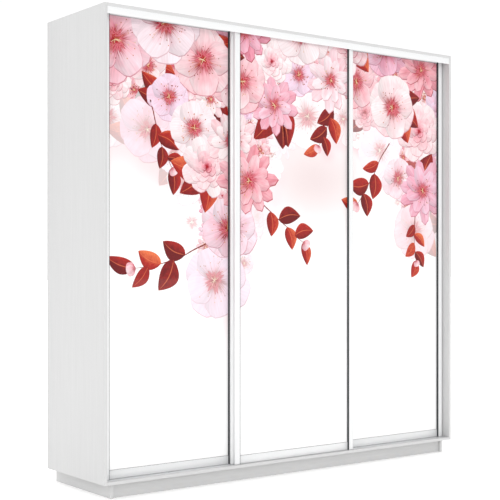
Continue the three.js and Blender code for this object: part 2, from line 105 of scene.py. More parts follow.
class PrintDesign(bpy.types.PropertyGroup):
    """The floral design printed on the panes."""

    ground: colour_property("Ground", "Ground of the print", (1.0, 0.998, 0.998))
    pale: colour_property("Pale", "Palest petals", (0.99, 0.925, 0.93))
    blush: colour_property("Blush", "Blush petals", (0.975, 0.82, 0.84))
    pink: colour_property("Pink", "Pink petals", (0.945, 0.665, 0.705))
    rose: colour_property("Rose", "Deepest petals", (0.87, 0.46, 0.52))
    lilac: colour_property("Lilac", "Cool tint of some flowers", (0.95, 0.87, 0.98))
    crimson: colour_property("Crimson", "Heart of the flowers", (0.72, 0.02, 0.13))
    leaf: colour_property("Leaf", "Dark side of the leaves", (0.42, 0.05, 0.07))
    leaf_red: colour_property("Leaf red", "Middle tone of the leaves", (0.68, 0.14, 0.11))
    leaf_edge: colour_property("Leaf edge", "Bright side of the leaves", (0.89, 0.45, 0.28))
    seed: bpy.props.IntProperty(
        name="Seed", description="Start of the random placing", default=7, min=0
    )
    largest: length_property("Largest flower", "Radius of the largest flowers", 190)
    smallest: length_property("Smallest flower", "Radius of the smallest flowers", 72)


class StudioSetup(bpy.types.PropertyGroup):
    """Camera and light."""

    lens: bpy.props.FloatProperty(
        name="Lens", description="Focal length", default=82.0, min=1.0, subtype="DISTANCE_CAMERA"
    )
    heading: bpy.props.FloatProperty(
        name="Heading", description="Turn of the camera to the right of straight ahead",
        default=math.radians(36.935), subtype="ANGLE", unit="ROTATION",
    )
    key_power: bpy.props.FloatProperty(
        name="Key light", description="Strength of the soft key light", default=0.8, min=0.0
    )


def finish():
    """The settings of the wardrobe itself."""
    return bpy.context.scene.wardrobe_finish


def design():
    """The settings of the print."""
    return bpy.context.scene.wardrobe_print


# Node trees

NOISE_LOW, NOISE_HIGH = 0.3, 0.7


class Graph:
    """A node tree with short calls for adding and joining nodes."""

    def __init__(self, tree):
        self.tree = tree

    def plug(self, value, socket):
        """Puts a number, a colour or another node's output into a socket."""
        if isinstance(value, bpy.types.NodeSocket):
            self.tree.links.new(value, socket)
        elif socket.type == "RGBA":
            socket.default_value = (*value, 1.0)
        else:
            socket.default_value = value

    def add(self, kind, inputs=None, output=0, **settings):
        """Adds a node and returns one of its outputs. inputs maps sockets to what they take."""
        made = self.tree.nodes.new(kind)
        for name, value in settings.items():
            setattr(made, name, value)
        for key, value in (inputs or {}).items():
            self.plug(value, made.inputs[key])
        return made.outputs[output]

    def maths(self, operation, *values):
        """The result of a calculation on one to three numbers."""
        return self.add("ShaderNodeMath", dict(enumerate(values)), operation=operation)

    def times(self, first, second):
        """The product of two numbers."""
        return self.maths("MULTIPLY", first, second)

    def range(self, value, low, high, start=NOISE_LOW, end=NOISE_HIGH, smooth=False):
        """A value between low and high where another goes from start to end, as noises do."""
        return self.add(
            "ShaderNodeMapRange", dict(enumerate((value, start, end, low, high))),
            interpolation_type="SMOOTHSTEP" if smooth else "LINEAR",
        )


class Shader(Graph):
    """A node material, with the axis that its grain runs along."""

    def __init__(self, name, axis="z"):
        self.axis = axis
        self.material = bpy.data.materials.new(name)
        self.material.use_nodes = True
        super().__init__(self.material.node_tree)

    def set(self, **values):
        """Sets sockets of the surface by name, with underscores for spaces."""
        surface = self.tree.nodes["Principled BSDF"]
        for name, value in values.items():
            self.plug(value, surface.inputs[name.replace("_", " ")])
        return self.material

    def mix(self, amount, first, second, blend_type="MIX"):
        """A mix of two colours."""
        inputs = {0: amount, 6: first, 7: second}
        return self.add("ShaderNodeMix", inputs, 2, data_type="RGBA", blend_type=blend_type)

    def shade(self, colour, value):
        """A colour times a grey value."""
        grey = self.add("ShaderNodeCombineColor", {0: value, 1: value, 2: value})
        return self.mix(1.0, colour, grey, "MULTIPLY")

    def ramp(self, value, stops):
        """A colour from a row of positions and colours."""
        colour = self.add("ShaderNodeValToRGB", {0: value})
        elements = colour.node.color_ramp.elements
        while len(elements) < len(stops):
            elements.new(0.5)
        for element, (position, paint) in zip(elements, stops):
            element.position = position
            element.color = (*paint, 1.0)
        return colour

    def attribute(self, name, output="Fac"):
        """A named attribute of the piece."""
        return self.add("ShaderNodeAttribute", None, output, attribute_name=name)

    def noise(self, vector, scale, detail=3.0, roughness=0.5):
        """Noise from 0 to 1 over a vector."""
        inputs = {"Vector": vector, "Scale": scale, "Detail": detail, "Roughness": roughness}
        return self.add("ShaderNodeTexNoise", inputs)

    def grain(self, stretch, *settings):
        """Noise over the piece's own coordinates.

        The stretch is one number, or one along the grain and one across it, or x, y and z.
        """
        if not isinstance(stretch, tuple):
            stretch = (stretch, stretch)
        if len(stretch) == 2:
            along, across = stretch
            stretch = tuple(along if name == self.axis else across for name in "xyz")
        place = self.add("ShaderNodeTexCoord", output="Object")
        place = self.add("ShaderNodeMapping", {"Vector": place, "Scale": stretch})
        return self.noise(place, *settings)

    def drawn_noise(self, along, across, seed, scale=1.6, detail=3.0):
        """Noise drawn out along a motif, different for each tone."""
        stretches = (("along", along), ("across", across), ("tone", seed))
        axes = [self.times(self.attribute(name), by) for name, by in stretches]
        return self.noise(self.add("ShaderNodeCombineXYZ", dict(enumerate(axes))), scale, detail, 0.6)

    def bump(self, height, distance, strength):
        """Fine relief, for the surface's Normal."""
        inputs = {"Strength": strength, "Distance": distance, "Height": height}
        return self.add("ShaderNodeBump", inputs)


KEPT = {}


def kept(maker):
    """Makes each material and each tree once and then reuses it."""

    def get(*key):
        if (maker, key) not in KEPT:
            KEPT[maker, key] = maker(*key)
        return KEPT[maker, key]

    return get


# Materials

@kept
def melamine(axis):
    """White melamine, its wood grain along an axis."""
    shader = Shader(f"White melamine, grain along {axis}", axis)
    grain = shader.grain((0.5, 13.0), 5.0, 4.0, 0.62)
    pores = shader.grain((1.5, 39.0), 9.0, 2.0)
    clouds = shader.range(shader.grain(1.0, 1.7, 2.0), 0.99, 1.005)
    tone = shader.times(shader.range(grain, 0.965, 1.012), clouds)
    return shader.set(
        Base_Color=shader.shade(finish().board, tone),
        Roughness=shader.range(pores, 0.40, 0.52),
        Specular_IOR_Level=0.42,
        Normal=shader.bump(shader.maths("MULTIPLY_ADD", pores, 0.5, grain), 0.00012, 0.35),
    )


@kept
def edge_band():
    """White edge band, smoother than the boards."""
    shader = Shader("White edge band")
    tone = shader.range(shader.grain(3.0, 4.0, 2.0), 0.985, 1.0)
    ripples = shader.grain(90.0, 3.0, 3.0)
    return shader.set(
        Base_Color=shader.shade(finish().edging, tone),
        Roughness=shader.range(ripples, 0.27, 0.38),
        Normal=shader.bump(ripples, 0.00004, 0.3),
    )


@kept
def lacquered_hardboard():
    """Hardboard with a lacquered face, its fibres showing through."""
    shader = Shader("Lacquered hardboard")
    fibres = shader.grain((70.0, 70.0, 52.0), 4.0, 5.0, 0.7)
    clouds = shader.range(shader.grain(1.0, 2.3, 3.0), 0.975, 1.0)
    tone = shader.times(shader.range(fibres, 0.965, 1.01), clouds)
    return shader.set(
        Base_Color=shader.shade(finish().hardboard, tone),
        Roughness=shader.range(fibres, 0.52, 0.68),
        Normal=shader.bump(fibres, 0.00018, 0.4),
    )


@kept
def coated_profile(axis):
    """Glossy white coating of the profiles, with fine lines drawn along an axis."""
    shader = Shader(f"Coated profile along {axis}", axis)
    lines = shader.grain((0.9, 160.0), 3.0, 2.0)
    peel = shader.grain(60.0, 5.0, 2.0)
    return shader.set(
        Base_Color=shader.shade(finish().profile, shader.range(lines, 0.988, 1.0)),
        Roughness=shader.range(peel, 0.20, 0.28),
        Coat_Weight=0.5,
        Coat_Roughness=0.08,
        Normal=shader.bump(shader.maths("MULTIPLY_ADD", lines, 0.6, peel), 0.00003, 0.35),
    )


@kept
def anodised_aluminium():
    """Matt anodised aluminium, drawn along x."""
    shader = Shader("Anodised aluminium")
    tone = shader.range(shader.grain((5.0, 40.0, 5.0), 2.0, 3.0), 0.95, 1.0)
    lines = shader.grain((0.8, 220.0, 220.0), 4.0, 3.0)
    return shader.set(
        Base_Color=shader.shade(finish().aluminium, tone),
        Metallic=0.35,
        Roughness=shader.range(lines, 0.36, 0.50),
        Normal=shader.bump(lines, 0.00003, 0.4),
    )


@kept
def dark_rubber():
    """Dark rubber of the seals."""
    shader = Shader("Dark seal rubber")
    bloom = shader.grain(30.0, 6.0, 4.0)
    return shader.set(
        Base_Color=shader.shade(finish().rubber, shader.range(bloom, 0.85, 1.25, 0.35, 0.75)),
        Roughness=shader.range(bloom, 0.55, 0.72),
        Specular_IOR_Level=0.35,
        Normal=shader.bump(bloom, 0.00006, 0.4),
    )


@kept
def moulded_nylon():
    """White nylon of the wheels and the guide shoes."""
    shader = Shader("Moulded nylon")
    skin = shader.grain(120.0, 3.0, 3.0)
    return shader.set(
        Base_Color=shader.shade(finish().nylon, shader.range(skin, 0.94, 1.02)),
        Roughness=shader.range(skin, 0.38, 0.5),
        Normal=shader.bump(skin, 0.00004, 0.4),
    )


@kept
def polished_chrome():
    """Chrome of the hanging rails, faintly drawn along x."""
    shader = Shader("Polished chrome")
    wipes = shader.grain((6.0, 80.0, 80.0), 4.0, 3.0)
    return shader.set(
        Base_Color=shader.shade(finish().chrome, shader.range(wipes, 0.96, 1.0)),
        Metallic=1.0,
        Roughness=shader.range(wipes, 0.06, 0.16, 0.35, 0.75),
    )


@kept
def zinc_steel():
    """Zinc-plated steel of the screws, pins, nails and axles."""
    shader = Shader("Zinc-plated steel")
    crystals = shader.grain(300.0, 3.0, 3.0)
    return shader.set(
        Base_Color=shader.shade(finish().steel, shader.range(crystals, 0.88, 1.04)),
        Metallic=1.0,
        Roughness=shader.range(crystals, 0.26, 0.42),
        Normal=shader.bump(crystals, 0.00004, 0.4),
    )


@kept
def bare_glass():
    """Edges and back of the panes, where no print lies."""
    shader = Shader("Pane edge and back")
    streaks = shader.grain((40.0, 40.0, 6.0), 5.0, 3.0)
    return shader.set(
        Base_Color=shader.shade(finish().glass, shader.range(streaks, 0.96, 1.0)),
        Roughness=shader.range(streaks, 0.10, 0.2),
        Coat_Weight=0.3,
    )


@kept
def backing_paper():
    """Plain grey backing on the underside of the base, mottled by the flakes below it."""
    shader = Shader("Grey board backing")
    flakes = shader.grain(60.0, 5.0, 5.0, 0.75)
    specks = shader.range(shader.grain(240.0, 4.0, 3.0), 0.86, 1.04)
    dark, bright = linear((0.47, 0.465, 0.455)), linear((0.58, 0.575, 0.565))
    colour = shader.mix(shader.range(flakes, 0.0, 1.0, 0.35, 0.65), dark, bright)
    return shader.set(
        Base_Color=shader.shade(colour, specks),
        Roughness=shader.range(flakes, 0.72, 0.88),
        Specular_IOR_Level=0.2,
        Normal=shader.bump(flakes, 0.0003, 0.6),
    )


def glazed(shader, colour, fades=True):
    """Print under a smooth clear coat. Marks that fade go over to the ground's colour."""
    if fades:
        colour = shader.mix(shader.attribute("fade"), colour, design().ground)
    return shader.set(
        Base_Color=colour, Roughness=0.32, Specular_IOR_Level=0.25, Coat_Weight=0.6,
        Coat_Roughness=0.02,
    )


@kept
def petal_print():
    """Printed petals: pale tips, a crimson root, fine veins and a soft side light."""
    shader = Shader("Printed petals")
    palette = design()
    along, across = shader.attribute("along"), shader.attribute("across")
    heart = shader.attribute("heart")
    spread = shader.maths("ABSOLUTE", across)
    side = shader.times(across, shader.attribute("sidelight"))
    streaks = shader.drawn_noise(1.1, 7.0, 137.0)
    shift = shader.range(shader.drawn_noise(2.2, 1.4, 91.0, 1.0, 2.0), -0.13, 0.13)
    inner = shader.range(along, 0.17, -0.13, 0.10, 0.95, smooth=True)
    depth = shader.maths("ADD", shader.maths("ADD", shader.attribute("tone"), shift), inner)
    stops = ((0.0, palette.pale), (0.26, palette.blush), (0.55, palette.pink),
             (0.80, palette.rose), (1.0, palette.crimson))
    colour = shader.ramp(shader.maths("MAXIMUM", depth, 0.0), stops)
    lilac = shader.mix(1.0, colour, palette.lilac, "MULTIPLY")
    colour = shader.mix(shader.attribute("lilac"), colour, lilac)
    root_edge = shader.maths("MULTIPLY_ADD", shader.maths("SUBTRACT", streaks, 0.5), 0.70, along)
    stain = shader.range(root_edge, 1.0, 0.0, 0.10, 0.46, smooth=True)
    stain = shader.times(stain, shader.maths("MAXIMUM", heart, 0.0))
    colour = shader.mix(stain, colour, palette.crimson)
    value = shader.range(streaks, 0.87, 1.0, 0.34, 0.62)
    for cause, *limits in (
        (spread, 0.95, 1.0, 0.0, 0.12, True),
        (side, 0.77, 1.0, -1.0, 0.35, True),
        (along, 0.84, 1.0, 0.0, 0.55, True),
        (spread, 1.0, 0.93, 0.60, 0.93, True),
        (spread, 1.0, 1.12, 0.93, 1.0),
        (heart, 0.82, 1.0, -1.0, 0.0),
    ):
        value = shader.times(value, shader.range(cause, *limits))
    return glazed(shader, shader.shade(colour, value))


@kept
def leaf_print():
    """Printed leaves: dark with a bright side, a midrib and side veins."""
    shader = Shader("Printed leaves")
    palette = design()
    along, across = shader.attribute("along"), shader.attribute("across")
    spread = shader.maths("ABSOLUTE", across)
    side = shader.times(across, shader.attribute("sidelight"))
    veins = shader.maths("SUBTRACT", shader.times(along, 9.0), shader.times(spread, 2.2))
    veins = shader.maths("PINGPONG", veins, 0.5)
    veins = shader.range(veins, 0.78, 1.0, 0.0, 0.11, smooth=True)
    midrib = shader.range(spread, 0.65, 0.0, 0.02, 0.07, smooth=True)
    mottle = shader.range(shader.drawn_noise(5.0, 1.6, 53.0, 1.5, 4.0), -0.25, 0.35)
    glow = shader.maths("ADD", mottle, side)
    glow = shader.maths("MULTIPLY_ADD", glow, 0.45, shader.attribute("tone"))
    stops = ((0.10, palette.leaf), (0.55, palette.leaf_red), (1.0, palette.leaf_edge))
    colour = shader.shade(shader.ramp(shader.range(glow, 0.0, 1.0, 0.0, 1.2), stops), veins)
    return glazed(shader, shader.mix(midrib, colour, palette.leaf_edge))


@kept
def thread_print():
    """Printed threads and dots, from cream through rust to dark red."""
    shader = Shader("Printed threads and dots")
    stops = ((0.0, linear((0.91, 0.85, 0.69))), (0.45, linear((0.80, 0.48, 0.31))),
             (1.0, design().leaf))
    worn = shader.range(shader.grain(700.0, 1.0, 1.0), 0.97, 1.02)
    return glazed(shader, shader.shade(shader.ramp(shader.attribute("tone"), stops), worn))


@kept
def ground_print():
    """Printed ground: a painted haze over near-white, with the finest print grain."""
    shader = Shader("Printed ground")
    grain = shader.range(shader.grain(900.0, 1.0, 1.0), 0.997, 1.003)
    return glazed(shader, shader.shade(shader.attribute("haze", "Color"), grain), fades=False)


# Meshes

SHARP = math.radians(35)
STRAIGHT = math.radians(0.5)
WELD = 1e-6
FACING = 0.9

# Roundings that no setting gives.
SHEET_EDGE = 0.4 * MM
TRACK_EDGE = 0.2 * MM
CUP_EDGE = 0.5 * MM
SEAL_EDGE = 0.25 * MM
SHOE_EDGE = 0.6 * MM


def link(name, data):
    """A new object in the scene for a mesh, a lamp or a camera."""
    made = bpy.data.objects.new(name, data)
    bpy.context.scene.collection.objects.link(made)
    return made


def listed(name, points, edges=(), faces=()):
    """A new object from lists of points, edges and faces."""
    mesh = bpy.data.meshes.new(name)
    mesh.from_pydata(points, edges, faces)
    return link(name, mesh)


def closed(work, name, materials=()):
    """A new object from working geometry."""
    mesh = bpy.data.meshes.new(name)
    work.to_mesh(mesh)
    work.free()
    for material in materials:
        mesh.materials.append(material)
    return link(name, mesh)


def settle(work, name, materials=()):
    """A new object with smooth faces and sharp creases."""
    work.normal_update()
    for face in work.faces:
        face.smooth = True
    for edge in work.edges:
        if len(edge.link_faces) == 2:
            edge.smooth = edge.calc_face_angle(0.0) < SHARP
    return closed(work, name, materials)


def mark(item, label, values, kind="FLOAT", field="value"):
    """Gives the points of an object an attribute."""
    layer = item.data.attributes.new(label, kind, "POINT")
    layer.data.foreach_set(field, np.ravel(values))


def take(node):
    """Working geometry of a frame node, with its loose triangles joined into clean faces."""
    work = bmesh.new()
    work.from_mesh(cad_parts[node].data)
    bmesh.ops.remove_doubles(work, verts=work.verts, dist=WELD)
    bmesh.ops.dissolve_limit(work, angle_limit=STRAIGHT, verts=work.verts, edges=work.edges)
    return work


def round_edges(work, radius):
    """Rounds every sharp edge."""
    sharp = [
        edge for edge in work.edges
        if len(edge.link_faces) == 2 and edge.calc_face_angle(0.0) > SHARP
    ]
    bmesh.ops.bevel(
        work, geom=sharp, offset=radius, segments=2, profile=0.5, affect="EDGES",
        clamp_overlap=True,
    )


def box_into(work, low, high):
    """Adds a box between two corners."""
    corners = [
        work.verts.new((x, y, z)) for x in (low[0], high[0]) for y in (low[1], high[1])
        for z in (low[2], high[2])
    ]
    for side in ((0, 1, 3, 2), (4, 6, 7, 5), (0, 4, 5, 1), (2, 3, 7, 6), (0, 2, 6, 4), (1, 5, 7, 3)):
        work.faces.new([corners[i] for i in side])


def turned_into(work, profile, centre, axis, steps, material=0):
    """Adds a turned body. profile holds pairs of radius and height along the axis, in millimetres."""
    axis = Vector(axis)
    side = axis.orthogonal().normalized()
    up = axis.cross(side)
    rings = []
    for radius, height in profile:
        ring = []
        for i in range(steps if radius else 1):
            angle = math.tau * i / steps
            out = side * math.cos(angle) + up * math.sin(angle)
            ring.append(work.verts.new(centre + out * (radius * MM) + axis * (height * MM)))
        rings.append(ring)
    for low, high in zip(rings, rings[1:]):
        for i in range(steps):
            around = ((low, i), (low, i + 1), (high, i + 1), (high, i))
            corners = dict.fromkeys(ring[k % len(ring)] for ring, k in around)
            work.faces.new(list(corners)).material_index = material


def face_out(work):
    """Turns every face outwards."""
    bmesh.ops.recalc_face_normals(work, faces=work.faces)


def ready(piece, body, slot, replaced=()):
    """Hands a finished piece to its body."""
    if replaced:
        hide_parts(*replaced)
    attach(piece, body)
    return piece


def dress(node, suffix, radius, materials, body, slot, work=None):
    """A frame node, or what was made from it, as a finished piece with rounded edges."""
    if work is None:
        work = take(node)
    if radius:
        round_edges(work, radius)
    piece = settle(work, f"{node}_{suffix}", materials)
    return ready(piece, body, slot, (node,))


# Repeated parts by geometry nodes


class CopyTree(Graph):
    """A geometry node tree that copies an object and ends in real geometry with a material."""

    def __init__(self, name, inputs):
        super().__init__(bpy.data.node_groups.new(name, "GeometryNodeTree"))
        sockets = self.tree.interface
        for label, kind in (("Geometry", "Geometry"), *inputs, ("Material", "Material")):
            sockets.new_socket(label, in_out="INPUT", socket_type="NodeSocket" + kind)
        sockets.new_socket("Geometry", in_out="OUTPUT", socket_type="NodeSocketGeometry")
        self.source = self.tree.nodes.new("NodeGroupInput").outputs

    def copies(self, points, model, **settings):
        """Copies the object to points, makes the copies real, gives them the material and ends."""
        item = self.add("GeometryNodeObjectInfo", {"Object": self.source[model]}, "Geometry")
        inputs = {"Points": points, "Instance": item, **settings}
        copies = self.add("GeometryNodeInstanceOnPoints", inputs)
        real = self.add("GeometryNodeRealizeInstances", {"Geometry": copies})
        inputs = {"Geometry": real, "Material": self.source["Material"]}
        last = self.add("GeometryNodeSetMaterial", inputs)
        self.plug(last, self.tree.nodes.new("NodeGroupOutput").inputs[0])
        return self.tree


@kept
def rows_tree():
    """Copies a small fitting along the edges of a wire at an even spacing."""
    tree = CopyTree("Fitting rows", (("Fitting", "Object"), ("Spacing", "Float")))
    curve = tree.add("GeometryNodeMeshToCurve", {"Mesh": tree.source["Geometry"]})
    inputs = {"Curve": curve, "Length": tree.source["Spacing"]}
    return tree.copies(tree.add("GeometryNodeResampleCurve", inputs, mode="LENGTH"), "Fitting")


@kept
def spots_tree():
    """Copies a small fitting to every point."""
    tree = CopyTree("Fitting spots", (("Fitting", "Object"), ("Turn", "Rotation")))
    return tree.copies(tree.source["Geometry"], "Fitting", Rotation=tree.source["Turn"])


@kept
def motifs_tree():
    """Copies a motif to every point, turned and stretched as the point's attributes say."""
    tree = CopyTree("Print motifs", (("Motif", "Object"),))
    turn, size = (
        tree.add("GeometryNodeInputNamedAttribute", {"Name": name}, data_type="FLOAT_VECTOR")
        for name in ("turn", "size")
    )
    turn = tree.add("FunctionNodeEulerToRotation", {"Euler": turn})
    return tree.copies(tree.source["Geometry"], "Motif", Rotation=turn, Scale=size)


def grow(source, tree, values, name):
    """Runs a tree on a source object, removes that, and keeps the result as a plain mesh object."""
    sockets = {
        item.name: item.identifier for item in tree.interface.items_tree
        if item.item_type == "SOCKET" and item.in_out == "INPUT"
    }
    modifier = source.modifiers.new("Grow", "NODES")
    modifier.node_group = tree
    for label, value in values.items():
        modifier[sockets[label]] = value
    graph = bpy.context.evaluated_depsgraph_get()
    mesh = bpy.data.meshes.new_from_object(source.evaluated_get(graph))
    source.modifiers.remove(modifier)
    drop(source)
    mesh.name = name
    mesh.materials.clear()
    mesh.materials.append(values["Material"])
    return link(name, mesh)


def wire(name, paths):
    """A source object of straight wires."""
    points, edges = [], []
    for path in paths:
        first = len(points)
        points += [tuple(p) for p in path]
        edges += [(first + i, first + i + 1) for i in range(len(path) - 1)]
    return listed(name, points, edges)


def drop(*objects):
    """Removes working objects with their meshes."""
    for item in objects:
        mesh = item.data
        bpy.data.objects.remove(item)
        bpy.data.meshes.remove(mesh)


# Fittings

NAIL_CROWN = 0.35
SCREW_CROWN = 0.5
NAIL_INSET = 7 * MM
SCREW_INSET = 60 * MM
SCREW_SETBACK = 10 * MM
PIN_DROP = 2.5 * MM
PIN_FRONT = 40 * MM
PIN_REAR = 60 * MM

# For each fitting: its profile as radius and height in millimetres, its axis and its steps around.
# A screw head is countersunk with a round recess, a shelf pin runs out of the panel with a collar.
FITTINGS = {
    "screw head": (
        ((0, -0.9), (1.3, -0.9), (1.7, 0.32), (2.6, SCREW_CROWN), (3.4, 0.12), (3.4, -0.2),
         (1.6, -2.0), (0, -2.0)), (0, 0, 1), 16),
    "nail": (
        ((0, NAIL_CROWN), (1.8, 0.3), (2.4, 0.05), (2.4, -0.15), (0.7, -0.3), (0.7, -2.0),
         (0, -2.2)), (0, 0, 1), 12),
    "shelf pin": (
        ((0, -6), (2.2, -6), (2.5, -5.5), (2.5, 0), (4, 0), (4, 1.2), (2.5, 1.2), (2.5, 7.4),
         (2.0, 8), (0, 8)), (1, 0, 0), 16),
}


def fitting(name):
    """A small working object at the origin that is copied by the trees."""
    profile, axis, steps = FITTINGS[name]
    work = bmesh.new()
    turned_into(work, profile, Vector(), axis, steps)
    face_out(work)
    return settle(work, name)


def fitting_rows(name, kind, paths, spacing, slot, move):
    """Fittings along wires in the plane z = 0, each point moved from there to its own place."""
    model = fitting(kind)
    values = {"Fitting": model, "Spacing": spacing, "Material": zinc_steel()}
    made = grow(wire(name, paths), rows_tree(), values, name)
    for vertex in made.data.vertices:
        vertex.co = move(*vertex.co)
    drop(model)
    return ready(made, "carcass", slot)


# Body

BOARDS = {
    "side_left": "z", "side_right": "z", "partition_left": "z", "partition_right": "z",
    "top_board": "x", "base_board": "x", "plinth_left": "y", "plinth_right": "y",
    "plinth_front": "x", "plinth_back": "x",
}


def board_piece(node, grain):
    """A board with rounded edges, its narrow sides finished with edge band, the base plain below."""
    work = take(node)
    low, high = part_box(node)
    thin = min(range(3), key=lambda i: high[i] - low[i])
    for face in work.faces:
        face.normal_update()
        face.material_index = 0 if abs(face.normal[thin]) > FACING else 1
        if node == "base_board" and face.normal.z < -FACING:
            face.material_index = 2
    materials = (melamine(grain), edge_band(), backing_paper())
    dress(node, "board", finish().board_radius, materials, "carcass", "white_board", work)


class WARDROBE_OT_body(bpy.types.Operator):
    """Side panels, top, base, partitions and plinth"""

    bl_idname = "wardrobe.body"
    bl_label = "Body boards"

    def execute(self, context):
        for node, grain in BOARDS.items():
            board_piece(node, grain)
        return {"FINISHED"}


class WARDROBE_OT_back(bpy.types.Operator):
    """Back sheets and the nails that hold them"""

    bl_idname = "wardrobe.back"
    bl_label = "Back"

    def execute(self, context):
        paths = []
        for node in ("back_left", "back_middle", "back_right"):
            low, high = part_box(node)
            face = high.y - NAIL_CROWN * MM
            work = take(node)
            for vertex in work.verts:
                vertex.co.y = min(vertex.co.y, face)
            dress(node, "sheet", SHEET_EDGE, (lacquered_hardboard(),), "carcass", "hardboard", work)
            left, right = low.x + NAIL_INSET, high.x - NAIL_INSET
            bottom, top = low.z + NAIL_INSET, high.z - NAIL_INSET
            corners = ((left, bottom), (right, bottom), (right, top), (left, top), (left, bottom))
            for (x0, z0), (x1, z1) in zip(corners, corners[1:]):
                paths.append([(x0, -z0, 0), (x1, -z1, 0)])
        fitting_rows("back_nails", "nail", paths, finish().nail_spacing, "hardboard",
                     lambda x, y, z: (x, face + z, -y))
        return {"FINISHED"}


# Tracks


class WARDROBE_OT_tracks(bpy.types.Operator):
    """Top track with its fascia and the bottom track, with their screws"""

    bl_idname = "wardrobe.tracks"
    bl_label = "Tracks"

    def execute(self, context):
        radius, white = finish().profile_radius, (coated_profile("x"),)
        for part in ("web", "fascia", "divider", "flange"):
            dress("top_track_" + part, "profile", radius, white, "carcass", "white_profile")
        bare = (anodised_aluminium(),)
        dress("bottom_track", "profile", TRACK_EDGE, bare, "carcass", "bare_aluminium")
        self.screws()
        return {"FINISHED"}

    def screws(self):
        """Countersunk screws along the middle of the bottom track and under the top track."""
        low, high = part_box("bottom_track")
        path = [(low.x + SCREW_INSET, 0, 0), (high.x - SCREW_INSET, 0, 0)]
        front, rear = (corner.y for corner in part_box("top_track_divider"))
        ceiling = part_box("top_track_web")[0].z
        for name, y, z, up, slot in (
            ("bottom_track_screws", (front + rear) / 2, high.z, 1, "bare_aluminium"),
            ("top_track_screws", front - SCREW_SETBACK, ceiling, -1, "white_profile"),
        ):
            fitting_rows(name, "screw head", [path], finish().screw_spacing, slot,
                         lambda x, out, rise: (x, y + up * out, z + up * rise))


# Inside


class WARDROBE_OT_inside(bpy.types.Operator):
    """Shelves on their pins, hanging rails and their cups"""

    bl_idname = "wardrobe.inside"
    bl_label = "Inside"

    def execute(self, context):
        shelves = sorted(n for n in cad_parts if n.startswith("shelf_"))
        for node in shelves:
            board_piece(node, "x")
        self.pins(shelves)
        chrome = (polished_chrome(),)
        for section in ("middle", "right"):
            dress("rail_" + section, "tube", 0, chrome, "carcass", "chrome")
            for end in ENDS:
                dress(f"rail_cup_{section}_{end}", "piece", CUP_EDGE, chrome, "carcass", "chrome")
        return {"FINISHED"}

    def pins(self, shelves):
        """Four pins under each shelf."""
        pin = fitting("shelf pin")
        boxes = [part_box(node) for node in shelves]
        for corner, turn in enumerate((0.0, math.pi)):
            spots = [
                [(box[corner].x, y, box[0].z - PIN_DROP)] for box in boxes
                for y in (box[0].y + PIN_FRONT, box[1].y - PIN_REAR)
            ]
            values = {"Fitting": pin, "Turn": Euler((0, 0, turn)), "Material": zinc_steel()}
            name = "shelf_pins_" + ENDS[corner]
            ready(grow(wire(name, spots), spots_tree(), values, name), "carcass", "chrome")
        drop(pin)


# Doors

SEAL_LIP_WIDTH = 2.4 * MM
SEAL_LIP_RISE = 1.3 * MM
SEAL_LIP_GAP = 0.3 * MM


def opening(door):
    """Left, right, bottom and top of a pane that shows between the stiles and the rails."""
    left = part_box(door + "_stile_left")[1].x
    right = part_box(door + "_stile_right")[0].x
    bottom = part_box(door + "_rail_bottom")[1].z
    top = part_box(door + "_rail_top")[0].z
    return left, right, bottom, top


def mirrored(half, joined):
    """A whole profile from its upper half, with its end joined to its start or not."""
    whole = [(radius, -height) for radius, height in half] + list(half[::-1])
    return whole + whole[:1] * joined


class WARDROBE_OT_frames(bpy.types.Operator):
    """Stiles, rails and seals of the three doors"""

    bl_idname = "wardrobe.frames"
    bl_label = "Door frames"

    def execute(self, context):
        radius = finish().profile_radius
        parts = {"stile_left": "z", "stile_right": "z", "rail_top": "x", "rail_bottom": "x"}
        for door in DOORS:
            for part, axis in parts.items():
                white = (coated_profile(axis),)
                dress(f"{door}_{part}", "profile", radius, white, door, "white_profile")
            node = door + "_seal"
            work = take(node)
            self.lips(work, door)
            dress(node, "strip", SEAL_EDGE, (dark_rubber(),), door, "seal_rubber", work)
        return {"FINISHED"}

    def lips(self, work, door):
        """The part of the seal that shows beside both stiles, in front of the rails and the glass."""
        left, right, bottom, top = opening(door)
        low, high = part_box(door + "_seal")
        front = low.y - SEAL_LIP_RISE
        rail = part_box(door + "_rail_bottom")[0].y - SEAL_LIP_GAP
        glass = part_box(door + "_glass")[0].y - SEAL_LIP_GAP
        for side, inner in ((left, left + SEAL_LIP_WIDTH), (right - SEAL_LIP_WIDTH, right)):
            box_into(work, (side, front, low.z), (inner, rail, high.z))
            box_into(work, (side, rail, bottom), (inner, glass, top))


